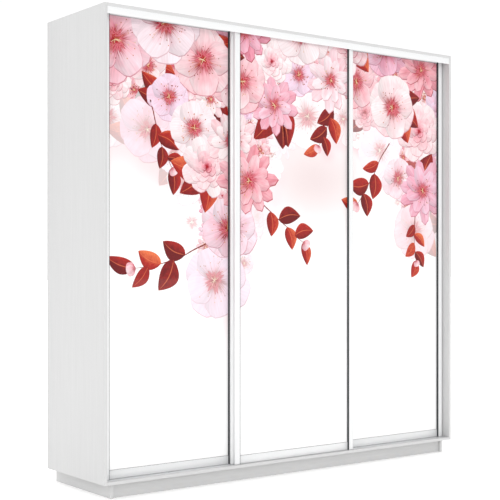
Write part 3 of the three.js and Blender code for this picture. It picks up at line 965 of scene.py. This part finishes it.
class WARDROBE_OT_runners(bpy.types.Operator):
    """Wheels under the doors and guides on top of them"""

    bl_idname = "wardrobe.runners"
    bl_label = "Wheels and guides"

    def execute(self, context):
        for door in DOORS:
            for end in ENDS:
                self.wheel(door, end)
                shoe = f"{door}_guide_{end}"
                dress(shoe, "shoe", SHOE_EDGE, (moulded_nylon(),), door, "nylon")
        return {"FINISHED"}

    def wheel(self, door, end):
        """A grooved nylon wheel with a steel ring and axle, its profiles in millimetres."""
        node = f"{door}_roller_{end}"
        low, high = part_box(node)
        edge, half = (high.z - low.z) / 2 / MM, (high.y - low.y) / 2 / MM
        axle, bore, core, hub, groove, rim = 3.0, 5.2, 10.4, 3.8, 2.2, 1.8
        play, fine, bevel, step = 0.1, 0.4, 0.6, 0.5
        tyre = ((bore, hub), (core - fine, hub), (core, hub - fine), (core, groove),
                (edge - bevel, rim), (edge, rim - bevel))
        ring = ((axle + play, hub - step), (bore - play, hub - step))
        pin = ((0, half), (axle - step, half), (axle, half - step))
        work = bmesh.new()
        for profile, steps, material in (
            (mirrored(tyre, True), 48, 0), (mirrored(ring, True), 32, 1),
            (mirrored(pin, False), 32, 1),
        ):
            turned_into(work, profile, (low + high) / 2, (0, 1, 0), steps, material)
        bmesh.ops.remove_doubles(work, verts=work.verts, dist=0.1 * WELD)
        face_out(work)
        piece = settle(work, node + "_wheel", (moulded_nylon(), zinc_steel()))
        ready(piece, f"{door}_wheel_{end}", "nylon", (node,))


# Printed panes

# The marks of the print lie in thin layers in front of the ground. A flower takes up STEPS layers
# and starts at its level times that, so that no two marks lie in one plane.
PRINT_DEPTH = 1.0 * MM
LAYER = 0.0142 * MM
STEPS = 5
LEVELS = 13
CROP_MARGIN = 0.8 * MM

# Flowers below this radius have petals of fewer faces and no leaves behind them.
SMALL_FLOWER = 0.072
FADE_DEPTH = 0.26
FADED = 0.12

# The blossom's field, and its lower edge with waves, by height, pace and start, and with swells,
# by height, place across and reach.
FIELD_X = (-1.2, 1.2)
FIELD_Z = (0.85, 2.44)
EDGE_HEIGHT = 1.74
WAVES = ((0.070, 4.1, 0.6), (0.045, 9.3, 2.0))
SWELLS = ((-0.78, -0.46, 0.23), (-0.40, 0.95, 0.19), (0.10, 0.32, 0.25))

# A petal's shadow: the value of its heart, what it adds to the tone, its size as a part of the
# petal's, how many layers it lies lower, and its shift right and up as parts of the radius.
SHADOW = -1.0
SHADOW_TONE = 0.34
SHADOW_SIZE = 1.01
SHADOW_DEPTH = 0.2
SHADOW_SHIFT = (0.010, -0.018)

THREAD_WIDTH = 0.5 * MM
STAMEN_WIDTH = 1.5 * MM
DOT_RADIUS = 3.2 * MM
LONGEST_LEAF = 0.24
PAINT_SEED = 5
HAZE_SEED = 21

# Soft patches of the ground: strength, place across and up, reach across and up, display colour.
MIST = (0.86, 0.785, 0.785)
CREAM = (1.0, 0.995, 0.955)
PATCHES = (
    (0.78, 0.14, 1.60, 0.42, 0.26, MIST),
    (0.66, -0.72, 1.66, 0.36, 0.20, MIST),
    (0.5, 0.72, 1.42, 0.20, 0.22, CREAM),
)
FAR_FLOWERS = 46
HAZE_CELL = 9 * MM

# Kinds of flower: anemone, rosette and star. Each has the least tone, what a flower's own tone
# adds and with which power, then the kind of petal, rings of petals from the outside inwards, and
# the reach and number of the streaks in its middle. A ring has the number of petals, their length
# and width as parts of the radius, their difference in tone, the strength of the crimson root and
# the turn of the ring.
KINDS = (
    (0.02, 0.44, 1.5, "broad",
     ((4, 1.0, 0.50, 0.06, 0.6, 0.0), (4, 0.93, 0.46, 0.0, 1.0, math.pi / 4)), (0.29, 17)),
    (0.10, 0.40, 1.0, "broad",
     ((8, 1.0, 0.36, -0.08, 0.0, 0.0), (7, 0.78, 0.31, 0.0, 0.0, 0.35),
      (6, 0.57, 0.26, 0.10, 0.3, 0.1), (5, 0.37, 0.19, 0.24, 0.8, 0.5),
      (3, 0.20, 0.12, 0.42, 1.0, 0.2)), None),
    (0.16, 0.56, 1.0, "slim",
     ((10, 1.0, 0.22, 0.0, 0.35, 0.0), (8, 0.76, 0.20, -0.13, 0.85, 0.28)), (0.22, 14)),
)
SHARES = (0.46, 0.24, 0.30)

# Twigs below the blossom: place across, heading in degrees and length.
SPRIGS = (
    (-0.90, 285, 0.36), (-0.55, 204, 0.46), (-0.28, 320, 0.42), (0.34, 238, 0.36),
    (0.75, 233, 0.44), (0.96, 275, 0.32),
)
TWIG_STEPS = 12


def lower_edge(x):
    """Height that the blossom reaches down to at a place across the wardrobe."""
    edge = EDGE_HEIGHT + sum(height * np.sin(pace * x + start) for height, pace, start in WAVES)
    for height, middle, reach in SWELLS:
        edge = edge + height * np.exp(-(((x - middle) / reach) ** 2))
    return edge


class Spray:
    """Places flowers over the width of the wardrobe, from a fixed seed."""

    def __init__(self, seed, smallest, largest):
        self.random = np.random.RandomState(seed)
        self.flowers = []
        self.scatter(largest, tries=900, spacing=0.64)
        self.scatter((smallest + largest) / 2, tries=2500, spacing=0.62)
        self.scatter(smallest, tries=5000, spacing=0.60)
        self.scatter(0.76 * smallest, tries=5000, spacing=0.58, least=0.08)
        self.order()

    def scatter(self, radius, tries, spacing, least=0.0):
        """Adds flowers of about one size where there is room, at least some way above the rim."""
        draw = self.random.uniform
        for _ in range(tries):
            r = radius * draw(0.8, 1.1)
            x, z = draw(*FIELD_X), draw(*FIELD_Z)
            kind = self.random.choice(3, p=SHARES)
            flower = {"x": x, "z": z, "r": r, "kind": int(kind), "turn": draw(0, math.tau),
                      "tone": draw(0, 1), "lilac": max(0.0, draw(-1.2, 0.8))}
            reach = z - lower_edge(x)
            if reach < max(0.30 * r, least):
                continue
            if any(math.hypot(x - f["x"], z - f["z"]) < spacing * (r + f["r"]) for f in self.flowers):
                continue
            flower["fade"] = float(np.clip(1.0 - reach / FADE_DEPTH, 0, 1)) ** 1.5
            self.flowers.append(flower)

    def order(self):
        """Small and faded flowers lie below large ones. Each lies just over all that it covers."""
        self.flowers.sort(key=lambda f: f["r"] * (1.2 - f["fade"]))
        laid = []
        for flower in self.flowers:
            below = [
                other["level"] + 1 for other in laid
                if math.hypot(flower["x"] - other["x"], flower["z"] - other["z"])
                < 0.98 * (flower["r"] + other["r"])
            ]
            flower["level"] = max(below, default=1)
            if flower["level"] <= LEVELS:
                laid.append(flower)
        self.flowers = laid


def flat_motif(name, rows, columns, place):
    """A flat motif on a grid. place gives x, depth and z where s runs along and t across it."""
    points, along, across = [], [], []
    for i in range(rows + 1):
        s = i / rows
        for j in range(columns + 1):
            t = math.sin(math.pi * (j / columns - 0.5))
            x, depth, z = place(s, t)
            points.append((x, -depth, z))
            along.append(s)
            across.append(t)
    wide = columns + 1
    starts = [i * wide + j for i in range(rows) for j in range(columns)]
    made = listed(name, points, [], [(a, a + wide, a + wide + 1, a + 1) for a in starts])
    mark(made, "along", along)
    mark(made, "across", across)
    return made


def dot_motif(name, steps=8):
    """A small round dot, one unit in radius."""
    angles = [math.tau * i / steps for i in range(steps)]
    points = [(0, 0, 0), *((math.cos(angle), 0, math.sin(angle)) for angle in angles)]
    made = listed(name, points, [], [(0, 1 + i, 1 + (i + 1) % steps) for i in range(steps)])
    for label in ("along", "across"):
        mark(made, label, np.zeros(len(points)))
    return made


def petal(waist, tip, wave):
    """Outline of a petal one unit long: narrow root, rounded and slightly waved tip."""

    def place(s, t):
        reach = s * (1 - tip * t**4 - 0.05 * t * t + wave * math.cos(3.1 * math.pi * t) * s**3)
        swell = math.sin(min(1.0, 1.12 * s) * math.pi / 2) ** 1.25
        return reach, 0.4 * LAYER * t, (waist + (1 - waist) * swell) * t

    return place


def leaf(s, t):
    """Outline of a bent, pointed leaf one unit long."""
    half = 0.30 * max(0.0, math.sin(math.pi * s**0.82)) ** 0.85 + 0.003
    return s, 0.2 * LAYER * (1 - abs(t)), half * t + 0.10 * math.sin(math.pi * s)


def strand(s, t):
    """Outline of a thread that thins a little to its tip."""
    return s, 0.0, t * (1 - 0.35 * s)


class Cloud:
    """Points for one motif, with the attributes that turn, stretch and colour its copies."""

    def __init__(self):
        self.rows = []

    def add(self, x, z, depth, angle, length, width, tone, fade=0.0, heart=0.0, lilac=0.0):
        """One copy: angle is its direction in the plane, depth its number of layers."""
        sidelight = math.cos(angle + 0.7)
        self.rows.append((x, -depth * LAYER, z, 0.0, -angle, 0.0, length, 1.0, width, tone, fade,
                          heart, lilac, sidelight))

    def grow(self, motif, material):
        """Copies the motif to all points."""
        table = np.array(self.rows)
        name = motif.name + "s"
        cloud = listed(name, table[:, :3].tolist())
        mark(cloud, "turn", table[:, 3:6], "FLOAT_VECTOR", "vector")
        mark(cloud, "size", table[:, 6:9], "FLOAT_VECTOR", "vector")
        for label, values in zip(("tone", "fade", "heart", "lilac", "sidelight"), table[:, 9:].T):
            mark(cloud, label, values)
        return grow(cloud, motifs_tree(), {"Motif": motif, "Material": material}, name)


class Painter:
    """Turns placed flowers and sprigs into clouds of petals, leaves, streaks, threads and dots."""

    def __init__(self, spray):
        self.random = np.random.RandomState(PAINT_SEED)
        self.draw = self.random.uniform
        self.broad, self.small, self.slim, self.streaks = (Cloud() for _ in range(4))
        self.leaves, self.threads, self.dots = (Cloud() for _ in range(3))
        self.faded = [flower for flower in spray.flowers if flower["fade"] > FADED]
        for flower in spray.flowers:
            self.backing(flower)
            self.bloom(flower)
        for sprig in SPRIGS:
            self.sprig(*sprig)

    def backing(self, flower):
        """Leaves that peep out from behind some of the flowers."""
        r, fade = flower["r"], flower["fade"]
        if self.draw() > 0.5 or fade > 0.6 or r < SMALL_FLOWER:
            return
        start = self.draw(0, math.tau)
        for k in range(self.random.randint(1, 4)):
            angle = start + k * self.draw(0.5, 0.9)
            length = min(r * self.draw(1.3, 1.75), LONGEST_LEAF)
            depth = flower["level"] * STEPS - 0.95 + 0.03 * (len(self.leaves.rows) % 17)
            self.leaves.add(flower["x"], flower["z"], depth, angle, length,
                            length * self.draw(0.8, 1.1), self.draw(0.0, 0.8), fade)

    def bloom(self, flower):
        """The petals of a flower, and its middle where its kind has one."""
        base, gain, power, petals, rings, eye = KINDS[flower["kind"]]
        tone = base + gain * flower["tone"] ** power
        cloud = getattr(self, petals)
        if cloud is self.broad and flower["r"] < SMALL_FLOWER:
            cloud = self.small
        for step, (count, reach, width, shift, heart, start) in enumerate(rings):
            depth = flower["level"] * STEPS + step
            self.ring(cloud, flower, depth, tone + shift, count, reach, width, heart, start)
        if eye:
            self.middle(flower, *eye)

    def ring(self, cloud, flower, depth, tone, count, reach, width, heart, start):
        """A ring of petals round a flower's middle, each over a darker copy as its shadow."""
        x, z, r, fade, lilac = (flower[key] for key in ("x", "z", "r", "fade", "lilac"))
        right, up = SHADOW_SHIFT
        for k in range(count):
            angle = flower["turn"] + start + math.tau * k / count + self.draw(-0.10, 0.10)
            length = r * reach * self.draw(0.90, 1.06)
            breadth = r * width * self.draw(0.92, 1.10)
            shade = float(np.clip(tone + self.draw(-0.09, 0.09), 0.0, 0.9))
            cloud.add(x + right * r, z + up * r, depth - SHADOW_DEPTH, angle, length * SHADOW_SIZE,
                      breadth * SHADOW_SIZE, shade + SHADOW_TONE, fade, SHADOW, lilac)
            cloud.add(x, z, depth, angle, length, breadth, shade, fade, heart, lilac)

    def middle(self, flower, reach, count):
        """Crimson streaks, cream and dark threads and dots in the middle of a flower."""
        depth = flower["level"] * STEPS + 2
        x, z, fade = flower["x"], flower["z"], flower["fade"]
        size = flower["r"] * reach
        for k in range(count):
            angle = flower["turn"] + math.tau * k / count + self.draw(-0.15, 0.15)
            length = size * self.draw(0.7, 1.3)
            self.streaks.add(x, z, depth + 0.03 * k, angle, length, length * 0.27, 0.99,
                             0.7 * fade, 1.0)
            if k % 2:
                self.streaks.add(x, z, depth + 0.55 + 0.03 * k, angle, 0.62 * length,
                                 0.36 * length, 0.99, 0.6 * fade, 1.0)
        for k in range(count + 6):
            angle = self.draw(0, math.tau)
            length = size * self.draw(1.1, 2.2)
            tone = self.draw(0.2, 1.0)
            self.threads.add(x, z, depth + 1.15 + 0.02 * k, angle, length, THREAD_WIDTH,
                             0.3 + 0.5 * tone, fade)
            self.dots.add(x + length * math.cos(angle), z + length * math.sin(angle),
                          depth + 1.7 + 0.03 * k, 0.0, DOT_RADIUS, DOT_RADIUS, tone, fade)
        for k in range(6):
            self.threads.add(x, z, depth + 2.4 + 0.04 * k, self.draw(0, math.tau),
                             size * self.draw(0.25, 0.6), STAMEN_WIDTH, self.draw(0.0, 0.25),
                             fade)

    def clear_of(self, path, margin):
        """Number of layers that clears the faded flowers near a path."""
        levels = [
            f["level"] + 1 for f in self.faded
            if any(math.hypot(x - f["x"], z - f["z"]) < f["r"] + margin for x, z in path)
        ]
        return STEPS * max(levels, default=0)

    def sprig(self, x, heading, length):
        """A bent twig that leaves the lower rim of the blossom, with leaves and a bud."""
        z = float(lower_edge(x)) + 0.25
        way = math.radians(heading)
        piece = length / TWIG_STEPS
        path, ways = [(x, z)], [way]
        for _ in range(TWIG_STEPS):
            x += piece * math.cos(way)
            z += piece * math.sin(way)
            way += self.draw(-0.13, 0.13)
            path.append((x, z))
            ways.append(way)
        base = self.clear_of(path, 0.04)
        for i in range(TWIG_STEPS):
            self.threads.add(*path[i], base + 0.2 + 0.05 * i, ways[i], piece * 1.05,
                             (4.2 - 0.24 * i) * MM, 0.93)
        for i in range(4, TWIG_STEPS + 1, 2):
            side = 1 if i % 4 else -1
            size = length * self.draw(0.30, 0.42)
            spread = ways[i] + side * self.draw(0.45, 0.95)
            self.leaves.add(*path[i], base + 0.9 + 0.25 * (i - 4), spread, size,
                            size * self.draw(0.8, 1.1), self.draw(0.1, 0.9))
        bud = 0.12 * length
        self.leaves.add(x, z, base + 3.4, way, 0.8 * bud, 0.9 * bud, 0.2)
        for k, lean in enumerate((-0.42, 0.42, 0.0)):
            self.broad.add(x, z, base + 3.7 + 0.4 * k, way + lean, bud, 0.42 * bud,
                           0.60 - 0.12 * k, 0.0, 0.6)


def haze_colour(x, z):
    """Colour of the ground at each place: soft far-off flowers in a pale pink haze."""
    palette = design()
    colour = np.tile(np.array(palette.ground), (len(x), 1))

    def lay(amount, paint):
        nonlocal colour
        amount = np.clip(amount, 0, 1)[:, None]
        colour = colour * (1 - amount) + np.array(paint) * amount

    band = 1 / (1 + np.exp(-(z - lower_edge(x) - 0.02) / 0.09))
    lay(0.85 * band, palette.blush)
    for strength, middle_x, middle_z, wide, tall, paint in PATCHES:
        away = ((x - middle_x) / wide) ** 2 + ((z - middle_z) / tall) ** 2
        lay(strength * np.exp(-away), linear(paint))
    random = np.random.RandomState(HAZE_SEED)
    for _ in range(FAR_FLOWERS):
        cx = random.uniform(-1.15, 1.15)
        rise = random.uniform(-0.12, 0.60)
        cz = lower_edge(cx) + rise
        reach = random.uniform(0.06, 0.13)
        paint = (palette.blush, palette.pink, palette.pale)[random.randint(3)]
        start = random.uniform(0, math.tau)
        count = random.randint(5, 9)
        strength = random.uniform(0.25, 0.6) * float(np.clip(rise / 0.3 + 0.6, 0.3, 1))
        for k in range(count):
            angle = start + math.tau * k / count
            px, pz = cx + reach * math.cos(angle), cz + reach * math.sin(angle)
            spread = ((x - px) ** 2 + (z - pz) ** 2) / (0.62 * reach) ** 2
            lay(strength * np.exp(-(spread**1.5)), paint)
    return colour


def pane_piece(door):
    """The pane: a printed front on a grid fine enough for the haze, cut edges and a plain back."""
    low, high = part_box(door + "_glass")
    front = low.y + PRINT_DEPTH
    xs, zs = (
        np.linspace(start, end, round((end - start) / HAZE_CELL) + 1)
        for start, end in ((low.x, high.x), (low.z, high.z))
    )
    work = bmesh.new()
    grid = [[work.verts.new((x, front, z)) for x in xs] for z in zs]
    for below, above in zip(grid, grid[1:]):
        for corners in zip(below, below[1:], above[1:], above):
            work.faces.new(corners)
    rim = grid[0] + [row[-1] for row in grid[1:]] + grid[-1][-2::-1] + [row[0] for row in grid[-2:0:-1]]
    back = [work.verts.new((v.co.x, high.y, v.co.z)) for v in rim]
    sides = zip(rim, back, back[1:] + back[:1], rim[1:] + rim[:1])
    for corners in (*sides, back[::-1]):
        work.faces.new(corners).material_index = 1
    face_out(work)
    piece = settle(work, door + "_pane", (ground_print(), bare_glass()))
    place = np.array([vertex.co for vertex in piece.data.vertices])
    colour = np.ones((len(place), 4))
    colour[:, :3] = haze_colour(place[:, 0], place[:, 2])
    layer = piece.data.color_attributes.new("haze", "FLOAT_COLOR", "POINT")
    layer.data.foreach_set("color", colour.ravel())
    return ready(piece, door, "printed_glass", (door + "_glass",))


def crop(source, door):
    """A copy of the print over one pane, cut to what shows of it."""
    left, right, bottom, top = opening(door)
    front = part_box(door + "_glass")[0].y + PRINT_DEPTH
    work = bmesh.new()
    work.from_mesh(source.data)
    bmesh.ops.translate(work, verts=work.verts, vec=(0, front, 0))
    planes = (((left - CROP_MARGIN, 0, 0), (-1, 0, 0)), ((right + CROP_MARGIN, 0, 0), (1, 0, 0)),
              ((0, 0, bottom - CROP_MARGIN), (0, 0, -1)), ((0, 0, top + CROP_MARGIN), (0, 0, 1)))
    for place, outward in planes:
        geometry = work.verts[:] + work.edges[:] + work.faces[:]
        bmesh.ops.bisect_plane(
            work, geom=geometry, plane_co=place, plane_no=outward, clear_outer=True, dist=WELD
        )
    return closed(work, door + "_print", source.data.materials)


def join(objects, name):
    """One object from several, with their materials."""
    work = bmesh.new()
    materials = []
    for item in objects:
        own = item.data.materials[0]
        if own not in materials:
            materials.append(own)
        before = len(work.faces)
        work.from_mesh(item.data)
        work.faces.ensure_lookup_table()
        for face in work.faces[before:]:
            face.material_index = materials.index(own)
    drop(*objects)
    return closed(work, name, materials)


class WARDROBE_OT_panes(bpy.types.Operator):
    """Glass panes with the floral print, continuous over the three doors"""

    bl_idname = "wardrobe.panes"
    bl_label = "Printed panes"

    def execute(self, context):
        settings = design()
        painter = Painter(Spray(settings.seed, settings.smallest, settings.largest))
        rounded = petal(0.22, 0.36, 0.03)
        motifs = (
            (flat_motif("broad petal", 6, 9, rounded), petal_print(), painter.broad),
            (flat_motif("small petal", 4, 5, rounded), petal_print(), painter.small),
            (flat_motif("slim petal", 6, 4, petal(0.35, 0.42, 0.0)), petal_print(), painter.slim),
            (flat_motif("streak", 4, 2, petal(0.60, 0.70, 0.0)), petal_print(), painter.streaks),
            (flat_motif("leaf", 12, 4, leaf), leaf_print(), painter.leaves),
            (flat_motif("thread", 3, 1, strand), thread_print(), painter.threads),
            (dot_motif("dot"), thread_print(), painter.dots),
        )
        parts = [cloud.grow(motif, material) for motif, material, cloud in motifs]
        drop(*(motif for motif, _, _ in motifs))
        mural = join(parts, "print over the whole width")
        for door in DOORS:
            pane_piece(door)
            ready(crop(mural, door), door, "printed_glass")
        drop(mural)
        return {"FINISHED"}


# Stage

CAMERA_PLACE = (-3.929, -5.093, 1.151)
CAMERA_SHIFT = 0.0236
SENSOR_WIDTH = 36.0
FLOOR_HALF = 60.0
FLOOR_BELOW = 0.5 * MM
KEY_SIZE = math.radians(22)
KEY_FROM_LEFT = math.radians(16)
KEY_HEIGHT = math.radians(14)
KEY_PLACE = (-3.0, -3.0, 3.0)
BACKDROP = 1.03


class WARDROBE_OT_stage(bpy.types.Operator):
    """Floor, soft light, surroundings and camera"""

    bl_idname = "wardrobe.stage"
    bl_label = "Studio"

    def execute(self, context):
        self.floor()
        self.light()
        self.surroundings()
        self.camera()
        context.scene.view_settings.view_transform = "Standard"
        return {"FINISHED"}

    def floor(self):
        """A wide pale floor just under the plinth."""
        far = FLOOR_HALF
        corners = ((-far, -far), (far, -far), (far, far), (-far, far))
        ground = listed("studio_floor", [(x, y, -FLOOR_BELOW) for x, y in corners], [], [(0, 1, 2, 3)])
        shader = Shader("Pale studio floor")
        clouds = shader.range(shader.grain(1.0, 0.6, 2.0), 0.995, 1.0)
        material = shader.set(
            Base_Color=shader.shade((0.96, 0.96, 0.96), clouds), Roughness=0.9,
            Specular_IOR_Level=0.1, Emission_Color=(1.0, 1.0, 1.0), Emission_Strength=0.28,
        )
        ground.data.materials.append(material)

    def light(self):
        """A soft key from the front and a little from the left, low enough for short shadows."""
        key = bpy.data.lights.new("key", "SUN")
        key.energy = bpy.context.scene.wardrobe_studio.key_power
        key.angle = KEY_SIZE
        lamp = link("key", key)
        aim = Vector((math.sin(KEY_FROM_LEFT), math.cos(KEY_FROM_LEFT), -math.tan(KEY_HEIGHT)))
        lamp.rotation_euler = aim.to_track_quat("-Z", "Y").to_euler()
        lamp.location = KEY_PLACE

    def surroundings(self):
        """Bright light from behind the wardrobe, a dimmer studio in front, and a white backdrop."""
        world = bpy.data.worlds.new("Studio surroundings")
        world.use_nodes = True
        graph = Graph(world.node_tree)
        way = {0: graph.add("ShaderNodeTexCoord", output="Generated")}
        level = graph.range(graph.add("ShaderNodeSeparateXYZ", way, "Y"), 0.36, 1.03, -1.0, 0.15)
        ceiling = graph.range(graph.add("ShaderNodeSeparateXYZ", way, "Z"), 0.0, 0.5, 0.25, 1.0)
        seen = graph.add("ShaderNodeLightPath", output="Is Camera Ray")
        light = {0: seen, 2: graph.maths("ADD", level, ceiling), 3: BACKDROP}
        background = world.node_tree.nodes["Background"]
        graph.plug((1.0, 1.0, 1.0), background.inputs["Color"])
        graph.plug(graph.add("ShaderNodeMix", light), background.inputs["Strength"])
        bpy.context.scene.world = world

    def camera(self):
        """The camera of the photograph's view."""
        studio = bpy.context.scene.wardrobe_studio
        data = bpy.data.cameras.new("camera")
        data.sensor_width = SENSOR_WIDTH
        data.lens = studio.lens
        data.shift_y = CAMERA_SHIFT
        camera = link("camera", data)
        camera.location = CAMERA_PLACE
        camera.rotation_euler = (math.pi / 2, 0.0, -studio.heading)
        bpy.context.scene.camera = camera


# Panel and registration

OPERATORS = (
    WARDROBE_OT_body,
    WARDROBE_OT_back,
    WARDROBE_OT_tracks,
    WARDROBE_OT_inside,
    WARDROBE_OT_frames,
    WARDROBE_OT_runners,
    WARDROBE_OT_panes,
    WARDROBE_OT_stage,
)
GROUPS = {
    "wardrobe_finish": WardrobeFinish,
    "wardrobe_print": PrintDesign,
    "wardrobe_studio": StudioSetup,
}


class WARDROBE_PT_pieces(bpy.types.Panel):
    """The wardrobe's settings and pieces"""

    bl_idname = "WARDROBE_PT_pieces"
    bl_label = "Wardrobe"
    bl_space_type = "VIEW_3D"
    bl_region_type = "UI"
    bl_category = "Wardrobe"

    def draw(self, context):
        for name in GROUPS:
            group = getattr(context.scene, name)
            box = self.layout.box()
            for setting in group.bl_rna.properties.keys():
                if setting not in ("rna_type", "name"):
                    box.prop(group, setting)
        for operator in OPERATORS:
            self.layout.operator(operator.bl_idname)


def register():
    for name, group in GROUPS.items():
        bpy.utils.register_class(group)
        setattr(bpy.types.Scene, name, bpy.props.PointerProperty(type=group))
    for operator in (*OPERATORS, WARDROBE_PT_pieces):
        bpy.utils.register_class(operator)


def unregister():
    for operator in (*OPERATORS, WARDROBE_PT_pieces):
        bpy.utils.unregister_class(operator)
    for name, group in GROUPS.items():
        delattr(bpy.types.Scene, name)
        bpy.utils.unregister_class(group)


def main():
    register()
    for operator in OPERATORS:
        family, name = operator.bl_idname.split(".")
        getattr(getattr(bpy.ops, family), name)()


if __name__ == "__main__":
    main()
